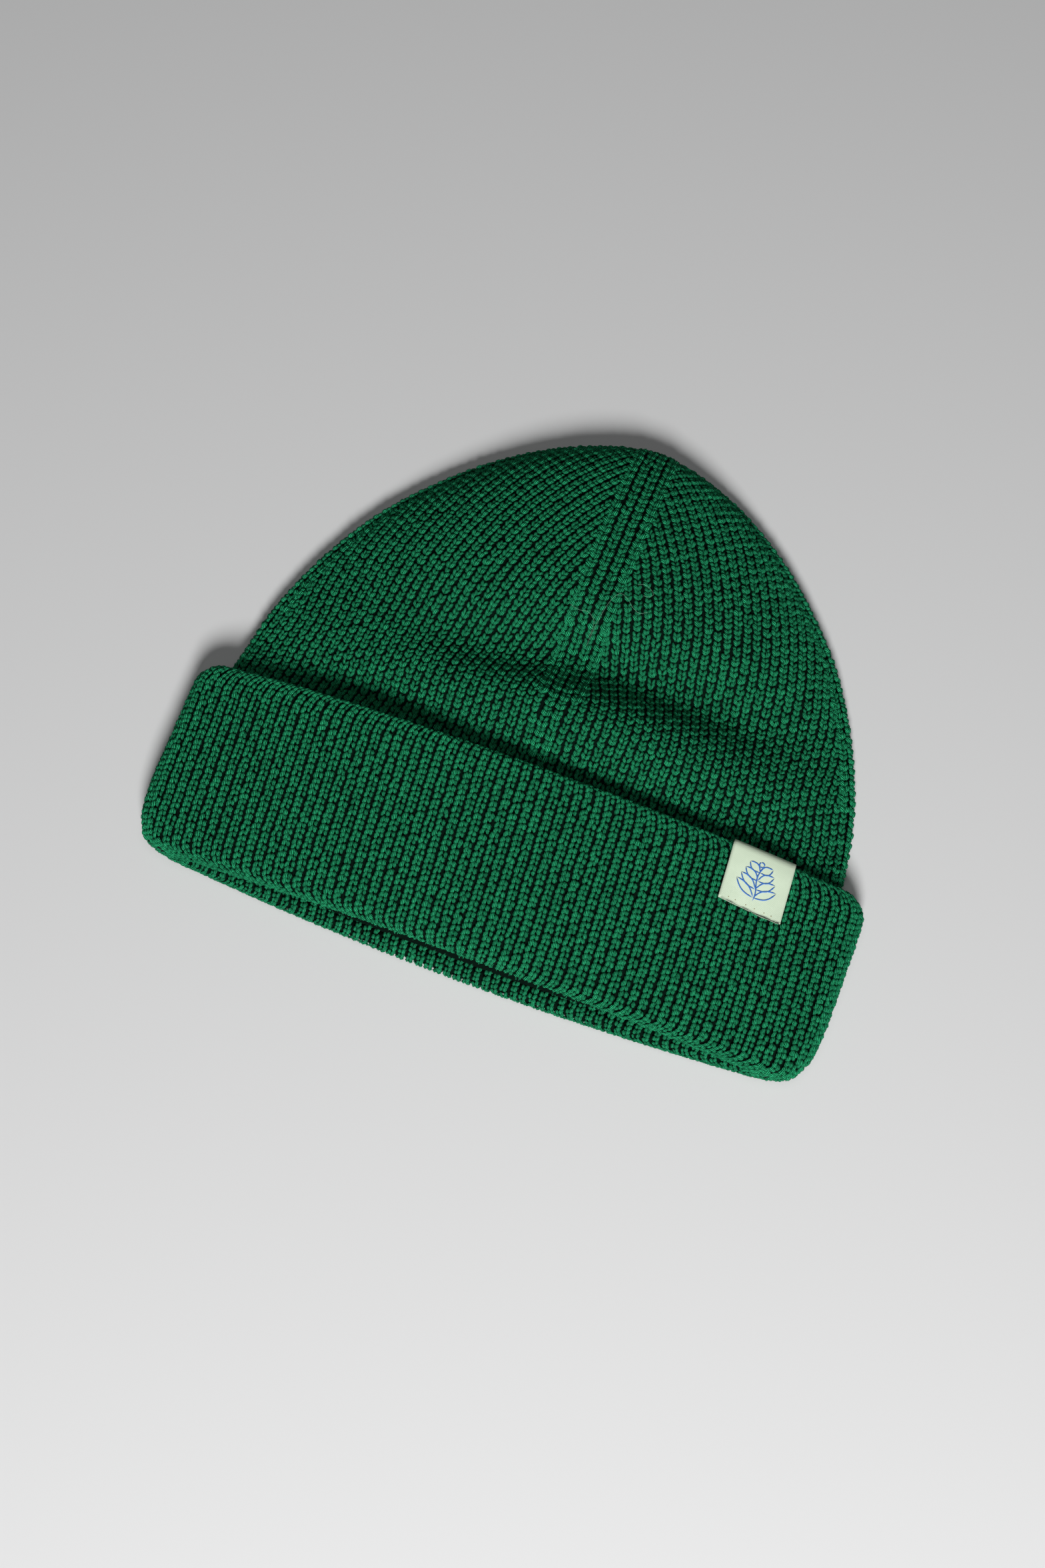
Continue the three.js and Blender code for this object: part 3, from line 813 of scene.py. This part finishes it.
def spindle_faces(sides, rings):
    """Corners, sizes and coordinates, both from 0 to 1, of the faces of one spindle."""
    corners, sizes, coordinates = [], [], []
    first, last = sides * rings, sides * rings + 1
    step = 1 / (rings + 1)
    for side in range(sides):
        beside = (side + 1) % sides
        left, right, middle = side / sides, (side + 1) / sides, (side + 0.5) / sides
        corners += [first, beside, side]
        coordinates += [(middle, 0.0), (right, step), (left, step)]
        sizes.append(3)
        for ring in range(rings - 1):
            here, above = ring * sides, (ring + 1) * sides
            start, end = (ring + 1) * step, (ring + 2) * step
            corners += [here + side, here + beside, above + beside, above + side]
            coordinates += [(left, start), (right, start), (right, end), (left, end)]
            sizes.append(4)
        top = (rings - 1) * sides
        corners += [last, top + side, top + beside]
        coordinates += [(middle, 1.0), (left, 1 - step), (right, 1 - step)]
        sizes.append(3)
    return np.array(corners), np.array(sizes), np.array(coordinates)


print("faces of a spindle with 6 sides and 4 rings", len(spindle_faces(6, 4)[1]))

# %% [markdown]
# The legs of a quarter of the cap become one mesh, which is far lighter than an object for each.
# Every leg has its own cell of a UV map, a second map that the yarn's stripes read, and an
# attribute that holds a tone differing at random from leg to leg and painted shade that darkens
# its ends, where it dives between its neighbours.

# %% Stitches
ATLAS_CELLS = 72
ATLAS_MARGIN = 0.06
# Painted shade at the ends of each leg, and a random tone for each leg round a middle value
END_SHADE = 0.32
MIDDLE_TONE, TONE_SPREAD = 0.9, 0.1
LEAST_STITCH = 0.5


class Stitches:
    """Collects the legs of many stitches and makes one mesh of them."""

    def __init__(self):
        self.parts = []
        self.count = 0
        self.legs = 0

    def add_rib(self, rib, pitch, legs, detail, first):
        """Lays stitches along a rib, from a first one that lines up with those of its neighbours."""
        starts = np.arange(first, rib.reach[-1] - LEAST_STITCH * pitch, pitch)
        for leg in legs:
            sides, rings = leg[detail]
            for side in leg["sides"]:
                if len(starts):
                    lines, normals, radius = leg_lines(rib, starts, pitch, leg, side, rings)
                    self.add(lines, normals, radius, sides)

    def add(self, lines, normals, radius, sides):
        rings = lines.shape[1] - 2
        points = spindles(lines, normals, radius, sides)
        corners, sizes, coordinates = spindle_faces(sides, rings)
        count, each = len(points), points.shape[1]
        shift = self.count + each * np.arange(count)[:, None]
        length = 1000 * np.linalg.norm(np.diff(lines, axis=1), axis=2).sum(axis=1)
        turn = random.uniform(0, 1, count)
        yarn = np.stack([coordinates[None, :, 0] + turn[:, None], coordinates[None, :, 1] * length[:, None]],
                        axis=-1)
        number = self.legs + np.arange(count)
        cell = np.stack([number % ATLAS_CELLS, number // ATLAS_CELLS], axis=-1)[:, None]
        atlas = (cell + mix(ATLAS_MARGIN, 1 - ATLAS_MARGIN, coordinates[None])) / ATLAS_CELLS
        # Painted shade: each leg darkens towards its ends, where it dives between its neighbours; each leg
        # also gets a random tone
        ring_shade = mix(END_SHADE, 1.0, np.sin(np.arange(1, rings + 1) / (rings + 1) * math.pi))
        shade_and_tone = np.concatenate([np.repeat(ring_shade, sides), [END_SHADE, END_SHADE]])
        shade_and_tone = shade_and_tone[None] * random.normal(MIDDLE_TONE, TONE_SPREAD, count)[:, None]
        self.parts.append(dict(points=points.reshape(-1, 3), corners=(corners[None] + shift).ravel(),
                               sizes=np.tile(sizes, count), yarn=yarn.reshape(-1, 2),
                               atlas=atlas.reshape(-1, 2), shades_and_tones=shade_and_tone.ravel()))
        self.count += count * each
        self.legs += count

    def piece(self, name, material, slot):
        whole = {key: np.concatenate([part[key] for part in self.parts]) for key in self.parts[0]}
        points, sizes = whole["points"], whole["sizes"]
        points[:, 2] = np.maximum(points[:, 2], 0.0)
        maps = {"OFBake": whole["atlas"], "yarn": whole["yarn"]}
        add_mesh(name, points, whole["corners"], sizes, material, maps, whole["shades_and_tones"])
        print(name, "legs", self.legs, "triangles", int(np.sum(sizes - 2)))


# %% [markdown]
# Crown and cuff are stitched a quarter at a time, with the ribs counted from the centre line to
# the side edge. Neighbouring ribs are set half a stitch apart, as in the knit.

# %% Quarters of a face
ROW_STAGGER = 0.5
LEAST_ROWS = 5
QUARTERS = {"right_front": (0.0, 1), "right_back": (2.0, -1), "left_back": (2.0, 1), "left_front": (4.0, -1)}


def first_run(there):
    """The first unbroken run of True, as a slice."""
    start = int(np.argmax(there))
    rest = there[start:]
    end = len(there) if rest.all() else start + int(np.argmin(rest))
    return slice(start, end)


def add_quarters(kind, chart, lines, lean, level_row, pitch, legs, material):
    """Stitches along the lines of each quarter. Lines that start with the chart are level at a row."""
    for name, (start, turn) in QUARTERS.items():
        stitches = Stitches()
        for number, (share, width, there) in enumerate(lines):
            part = first_run(there)
            if part.stop - part.start < LEAST_ROWS:
                continue
            rib = Rib(chart, (start + turn * share + lean)[part], chart.places[part], width[part])
            row = rib.reach[level_row] if part.start == 0 else 0.0
            first = (row + number * ROW_STAGGER * pitch) % pitch
            stitches.add_rib(rib, pitch, legs, name.split("_")[1], first)
        stitches.piece(kind + "_stitches_" + name, material, kind + "_knit")


print("quarters", list(QUARTERS))

# %% [markdown]
# The crown has 32 ribs in each of its four gores. As the gores narrow, ribs end one after another
# along the darts, against a thick chain of stitches that were knitted together. Between the two
# chains of a dart, two ribs run up to the tip.

# %% Ribs of the crown
GORE_RIBS = 32
CROWN_PITCH = 0.0034
DART_BAND = 0.0044
PLAIN_BAND = 0.0035
BAND_GROWTH = 0.012
DART_RIB_WIDTH = 0.0038
DART_RIB_PLACE = 0.0018
WIDEST_BAND = 0.2
CHAIN_PLACE = 0.0056
CHAIN_WIDTH = 0.0042
CHAIN_START = 0.19
CHAIN_COVER = 0.0058
CHAIN_OVERLAP = 0.005
CROWDED_LENGTH = 0.015
LEAST_COLUMN = 0.4


def crown_lines(places):
    """Share of the quarter, width and whether it is there, of each rib and chain of a quarter."""
    length = crown_chart.length(places)
    grown = ease((places - CHAIN_START * CROWN_LENGTH) / BAND_GROWTH + 1)
    band = np.minimum(mix(PLAIN_BAND, DART_BAND, grown) / length, WIDEST_BAND)
    left = 2 * GORE_RIBS * read_table(CROWN_ROWS, "ribs", places / CROWN_LENGTH)
    first, final = GORE_RIBS - left / 2, GORE_RIBS + left / 2
    columns = np.maximum(final - first, 1e-6)
    chained = places > CHAIN_START * CROWN_LENGTH
    covered = places > CHAIN_START * CROWN_LENGTH + CHAIN_OVERLAP
    lines = []
    for rib in range(GORE_RIBS):
        column = 2 * rib + 1
        share = mix(band, 1 - band, (column - first) / columns)
        clear = np.minimum(share, 1 - share) * length > CHAIN_COVER
        there = (column > first + LEAST_COLUMN) & (column < final - LEAST_COLUMN) & (clear | ~covered)
        lines.append((share, 2 * (1 - 2 * band) * length / columns, there))
    room = np.minimum(length / CROWDED_LENGTH, 1.0)
    for place, width, there in [(DART_RIB_PLACE, DART_RIB_WIDTH, length > 0),
                                (CHAIN_PLACE, CHAIN_WIDTH, chained)]:
        share = place * room / length
        lines.append((share, width * room, there))
        lines.append((1 - share, width * room, there))
    return lines


above_cuff = int(np.argmin(np.abs(crown_places)))
add_quarters("crown", crown_chart, crown_lines(crown_places), 0.0, above_cuff, CROWN_PITCH, CROWN_LEGS,
             crown_yarn)

# %% [markdown]
# The cuff shows the other side of the same cloth. Its ribs are a little wider and its stitches
# run the other way up, since the cloth is turned over. Seen from this side, one leg of each V is
# a smooth wavy strand, and the other a row of beads with a small dark hole after each.

# %% Ribs of the cuff
CUFF_RIBS = 34
CUFF_PITCH = 0.00355
CUFF_LEAN = 0.06
CUFF_STRAIGHTNESS = 0.75
STRAIGHT_BELOW = 0.4


def cuff_spread(places):
    """How much wider than the ring's share a rib stays where the cuff narrows towards its fold."""
    level = np.array([cuff_path(place)[1] for place in places]) / CUFF_HEIGHT
    narrowing = read_table(CUFF_ROWS, "width", np.minimum(level, STRAIGHT_BELOW))
    return 1 + CUFF_STRAIGHTNESS * (1 / narrowing - 1)


def cuff_lines(places):
    """Share of the quarter, width and whether it is there, of each rib of a quarter."""
    spread = cuff_spread(places)
    width = spread * cuff_chart.length(places) / CUFF_RIBS
    shares = [spread * (rib + 0.5) / CUFF_RIBS for rib in range(CUFF_RIBS)]
    return [(share, width, share < 1) for share in shares]


lean = CUFF_LEAN * (cuff_places - cuff_places.mean()) / cuff_chart.lengths.max()
add_quarters("cuff", cuff_chart, cuff_lines(cuff_places), lean, 0, CUFF_PITCH, CUFF_LEGS, cuff_yarn)

# %% [markdown]
# The label is a short tape of cream satin, folded over the cuff's top edge and tucked in behind.
# It could be a plane with a Solidify modifier. Here it is a closed shell on the same sections as
# the cuff, so that it bends over the edge with the cloth. Its lower corners curl up, its cut end
# is a little uneven, and a sprig of leaves is printed on it in blue.

# %% Label tape
LABEL_WIDTH = 0.0204
LABEL_DROP = 0.0186
LABEL_TUCK = 0.009
LABEL_FROM_EDGE = 0.0368
LABEL_TURN = -0.05
LABEL_CURL = 0.0011
LABEL_SEAT = 0.0005
LABEL_THICKNESS = 0.00045
LABEL_COLUMNS = 20
LABEL_STEP = 0.0009
TURN_RINGS = 9
UNEVEN_END = 0.00022
UNEVEN_WAVES = (9.0, 4.3)
FLOATS_ACROSS, FLOATS_SLANT, FLOATS_DOWN = 2600.0, 900.0, 3400.0
FLOAT_RELIEF, MOTTLE_RELIEF = 0.5, 0.8


def label_point(across, inset, rise):
    """A point over the cuff's front, by its place across the tape and beside the cuff's section."""
    below = max(SHOULDER - rise, 0)
    turned = rise + LABEL_TURN * across * min(below / LABEL_DROP, 1)
    x, z, reach = quarter_ring(cuff_level(turned / CUFF_HEIGHT), 1, True, inset)
    edge = quarter_ring(cuff_level(SHOULDER / CUFF_HEIGHT), 1, True, 0.0)[2][-1]
    around = edge - LABEL_FROM_EDGE + across - LABEL_TURN * below
    y = MOUTH_Y + mix(fold_line(True, around / reach[-1]), CUFF_HEIGHT, turned / CUFF_HEIGHT)
    return [np.interp(around, reach, x), y, np.interp(around, reach, z)]


def hanging(down):
    """The entry of the tape's path at a distance below the cuff's top edge, on the front."""
    return 0.0, SHOULDER - down, -1.0, 0.0, LABEL_CURL * (down / LABEL_DROP) ** 2


def label_path():
    """Depth and height of the tape's path beside the cuff's section, its way out, and its curl."""
    path = [hanging(down) for down in np.arange(LABEL_DROP, 0.0, -LABEL_STEP)]
    for angle in np.linspace(math.pi, 0, TURN_RINGS):
        out, up = math.cos(angle), math.sin(angle)
        path.append((WALL / 2 * (1 + out), SHOULDER + WALL / 2 * up, out, up, 0.0))
    for down in np.arange(LABEL_STEP, LABEL_TUCK, 2 * LABEL_STEP):
        path.append((WALL, SHOULDER - down, 1.0, 0.0, 0.0))
    return path


def label_face(entry, off, share):
    """One point of the tape's face: share runs from -1 to 1 across it."""
    inset, rise, out, up, curl = entry
    lift = off + curl * share * share
    return label_point(share * LABEL_WIDTH / 2, inset + out * lift, rise + up * lift)


def add_label():
    shares = np.linspace(-1, 1, LABEL_COLUMNS + 1)
    ragged = UNEVEN_END * np.sin(UNEVEN_WAVES[0] * shares + 1.0) * np.sin(UNEVEN_WAVES[1] * shares)
    rings = []
    for number, entry in enumerate(label_path()):
        outer = np.array([label_face(entry, LABEL_SEAT + LABEL_THICKNESS, share) for share in shares])
        inner = np.array([label_face(entry, LABEL_SEAT, share) for share in shares[::-1]])
        if number == 0:
            outer[:, 1] += ragged
            inner[:, 1] += ragged[::-1]
        rings.append(np.concatenate([outer, inner]))
    return add_shell("label_tape", rings, False, label_satin)


def satin_material():
    """Close satin weave: slanted floats of thread in the bump, and a faint mottle of tone."""
    shader = Shader("label_satin", roughness=0.55, sheen=0.1, specular=0.3)
    across, down = shader.first_two(shader.place())
    slanted = (across * FLOATS_ACROSS + down * FLOATS_SLANT) * TURN
    floats = slanted.sine() * ((down * FLOATS_DOWN) * TURN).sine()
    mottle = shader.noise(scale=260.0, detail=4.0)
    shader.colour(shader.blend(mottle, (0.6, 0.72, 0.54, 1), (0.7, 0.82, 0.63, 1)))
    shader.bump(floats * FLOAT_RELIEF + mottle * MOTTLE_RELIEF, distance=0.0001, strength=0.5)
    return shader.material


label_satin = satin_material()
label_tape = add_label()
print("label faces", len(label_tape.data.polygons))

# %% [markdown]
# The print on the label is a plain sprig: a stem, pairs of pointed leaves and a bud. An image would
# be the usual way to print it. Here each stroke is a thin thread of blue that lies on the tape, so
# it stays sharp at any size, and a few small needle holes run along the tape's cut end.

# %% Print and needle holes
STROKE_POINTS = 9
STROKE_SIDES = 5
STROKE_RADIUS = 0.00021
SPRIG_FOOT, SPRIG_HEAD = 0.0153, 0.0038
LEAF_LENGTH, LEAF_HALF_WIDTH = 0.0078, 0.0013
LEAF_PAIRS = 4
LEAF_LEAN = math.radians(57)
LEAF_TAPER = 0.14
LOWEST_LEAF, HIGHEST_LEAF = SPRIG_FOOT - 0.0012, SPRIG_HEAD + 0.0018
STEM_SWAY, STEM_WAVES = 0.0004, 600
BUD_RADIUS = 0.0008
BUD_STROKES = 3
BUD_ARC = 2.1
HOLE_PLACES = (-0.72, -0.5, -0.16, 0.12, 0.43, 0.66)
HOLES_DOWN = 0.0172
HOLE_POINTS = 4
HOLE_STEP = 0.00012
HOLE_RADIUS = 0.00018
FADED_GAIN, FADED_LIFT = 1.5, 0.02


def on_label(across, down):
    return label_face(hanging(down), LABEL_SEAT + LABEL_THICKNESS, 2 * across / LABEL_WIDTH)


def leaf_strokes(root, side, length):
    """The two edges of a leaf that points up and out from the stem."""
    share = np.linspace(0, 1, STROKE_POINTS)
    strokes = []
    for bulge in (-1, 1):
        forward = length * share
        off = bulge * LEAF_HALF_WIDTH * np.sin(math.pi * share)
        across = side * (forward * math.sin(LEAF_LEAN) + off * math.cos(LEAF_LEAN))
        down = root - forward * math.cos(LEAF_LEAN) + off * math.sin(LEAF_LEAN)
        strokes.append(list(zip(across, down)))
    return strokes


def sprig_strokes():
    stem = np.linspace(SPRIG_FOOT, SPRIG_HEAD, STROKE_POINTS)
    strokes = [[(STEM_SWAY * math.sin(down * STEM_WAVES), down) for down in stem]]
    for pair in range(LEAF_PAIRS):
        root = mix(LOWEST_LEAF, HIGHEST_LEAF, pair / (LEAF_PAIRS - 1))
        length = LEAF_LENGTH * (1 - LEAF_TAPER * pair)
        for side in (-1, 1):
            strokes += leaf_strokes(root, side, length)
    for number in range(BUD_STROKES):
        angles = BUD_ARC * number + np.linspace(0, BUD_ARC, STROKE_POINTS)
        strokes.append([(BUD_RADIUS * math.cos(angle), SPRIG_HEAD - BUD_RADIUS + BUD_RADIUS * math.sin(angle))
                        for angle in angles])
    return strokes


def plain_material(name, colour):
    shader = Shader(name, roughness=0.8, specular=0.1)
    faded = shader.noise(scale=1800.0, detail=2.0)
    lighter = tuple(min(part * FADED_GAIN + FADED_LIFT, 1.0) for part in colour)
    shader.colour(shader.blend(faded, (*colour, 1.0), (*lighter, 1.0)))
    shader.bump(faded, distance=0.0001, strength=0.4)
    return shader.material


def add_threads(name, lines, radius, sides, material):
    """One mesh of closed threads of one thickness, each along its own line."""
    normals = np.tile([0.0, 0.0, 1.0], (*lines.shape[:2], 1))
    points = spindles(lines, normals, radius * np.ones(lines.shape[:2]), sides)
    corners, sizes, _ = spindle_faces(sides, lines.shape[1] - 2)
    shift = points.shape[1] * np.arange(len(points))[:, None]
    return add_mesh(name, points.reshape(-1, 3), (corners[None] + shift).ravel(),
                    np.tile(sizes, len(points)), material)


def add_strokes(name, strokes, radius, material):
    lines = np.array([[on_label(across, down) for across, down in stroke] for stroke in strokes])
    return add_threads(name, lines, radius, STROKE_SIDES, material)


blue_print = plain_material("blue_print", (0.03, 0.12, 0.4))
label_print = add_strokes("label_print", sprig_strokes(), STROKE_RADIUS, blue_print)
holes = [[(share * LABEL_WIDTH / 2 + HOLE_STEP * step, HOLES_DOWN) for step in range(HOLE_POINTS)]
         for share in HOLE_PLACES]
dark_thread = plain_material("needle_hole", (0.22, 0.16, 0.07))
needle_holes = add_strokes("label_needle_holes", holes, HOLE_RADIUS, dark_thread)
print("strokes", len(sprig_strokes()), "needle holes", len(holes))

# %% [markdown]
# Spun yarn sheds. A few long, fine, pale fibres lie in curls on the front, near the dart.
# Each is a closed thread through a few given points, laid just above the stitches.

# %% Stray fibres
FIBRE_RADIUS = 0.000032
FIBRE_CLEARANCE = 0.0006
FIBRE_STEPS = 40
FIBRE_SIDES = 4
FIBRE_ROUTES = [
    [(0.0017, 0.0163), (0.0025, 0.022), (0.0041, 0.0296), (0.0063, 0.0334), (0.0091, 0.0327),
     (0.0115, 0.0307), (0.0142, 0.0297), (0.0166, 0.0311)],
    [(0.0104, 0.0382), (0.0126, 0.0391), (0.0147, 0.0383), (0.0161, 0.0371), (0.015, 0.0357),
     (0.0132, 0.0354)],
    [(-0.0071, 0.0254), (-0.004, 0.0248), (-0.0011, 0.0252), (0.0015, 0.0236), (0.0019, 0.0206),
     (0.0014, 0.0189)],
]


def smooth_route(points):
    """A rounded route through points, by cubic steps between them, to just short of the last."""
    ends = [2 * points[0] - points[1], *points, 2 * points[-1] - points[-2]]
    share = np.linspace(0, len(points) - 1.001, FIBRE_STEPS)
    placed = []
    for place in share:
        number, t = int(place), place - int(place)
        a, b, c, d = ends[number:number + 4]
        placed.append(b + 0.5 * t * (c - a + t * (2 * a - 5 * b + 4 * c - d + t * (3 * (b - c) + d - a))))
    return np.array(placed)


def on_crown(x, y):
    """A point on the crown's front above a place on the floor, clear of the stitches."""
    distance = y - MOUTH_Y - CUFF_HEIGHT
    side = 1 if x >= 0 else -1
    xs, heights, _ = quarter_ring(crown_level(distance), side, True, 0.0)
    return [x, y, np.interp(abs(x), np.abs(xs), heights) + FIBRE_CLEARANCE]


def add_fibres():
    routes = [smooth_route(np.array(route)) for route in FIBRE_ROUTES]
    lines = np.array([[on_crown(x, y) for x, y in route] for route in routes])
    pale = plain_material("pale_fibre", (0.2, 0.42, 0.28))
    return add_threads("stray_fibres", lines, FIBRE_RADIUS, FIBRE_SIDES, pale)


stray_fibres = add_fibres()
print("fibres", len(FIBRE_ROUTES), "faces", len(stray_fibres.data.polygons))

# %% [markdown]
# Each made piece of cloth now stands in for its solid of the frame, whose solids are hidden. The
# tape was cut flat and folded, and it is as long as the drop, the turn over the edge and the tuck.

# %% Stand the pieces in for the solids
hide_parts("crown")
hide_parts("cuff")
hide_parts("label")

# %% [markdown]
# The floor is plain and pale. The light is soft and comes mostly from the camera's side, as it does
# beside a large window, and low enough for the ribs and the valley in the crown to show.

# %% Floor and light
FLOOR_HALF = 3.0
FLOOR_TONE = 0.66
LAMP_DISTANCE = 1.4
SKY_STRENGTH = 0.025
SKY_COLOUR = (0.9, 0.95, 1.0, 1)


def add_floor():
    mesh = bpy.data.meshes.new("floor")
    half = FLOOR_HALF
    mesh.from_pydata([(-half, -half, 0), (half, -half, 0), (half, half, 0), (-half, half, 0)], [],
                     [(0, 1, 2, 3)])
    shader = Shader("floor_paint", roughness=0.9, specular=0.1)
    shader.surface.inputs["Base Color"].default_value = (FLOOR_TONE, FLOOR_TONE, FLOOR_TONE, 1)
    mesh.materials.append(shader.material)
    floor = add_object("floor", mesh)


def add_lamp(name, around, height, size, power):
    """A round soft lamp, placed by the angles round the cap from +X and above the floor."""
    light = bpy.data.lights.new(name, "AREA")
    light.shape = "DISK"
    light.size = size
    light.energy = power
    lamp = add_object(name, light)
    turn, rise = math.radians(around), math.radians(height)
    level = LAMP_DISTANCE * math.cos(rise)
    place = (level * math.cos(turn), level * math.sin(turn), LAMP_DISTANCE * math.sin(rise))
    aim(lamp, place, (0.0, 0.0, 0.0))


def add_sky():
    world = bpy.data.worlds.new("sky")
    world.use_nodes = True
    background = world.node_tree.nodes["Background"]
    background.inputs["Color"].default_value = SKY_COLOUR
    background.inputs["Strength"].default_value = SKY_STRENGTH
    bpy.context.scene.world = world


add_floor()
add_lamp("window", around=-69, height=42, size=0.45, power=22.0)
add_lamp("ceiling", around=-69, height=84, size=0.8, power=2.7)
add_sky()
bpy.context.scene.view_settings.view_transform = "Standard"
print("lamps", [light.name for light in bpy.data.lights])
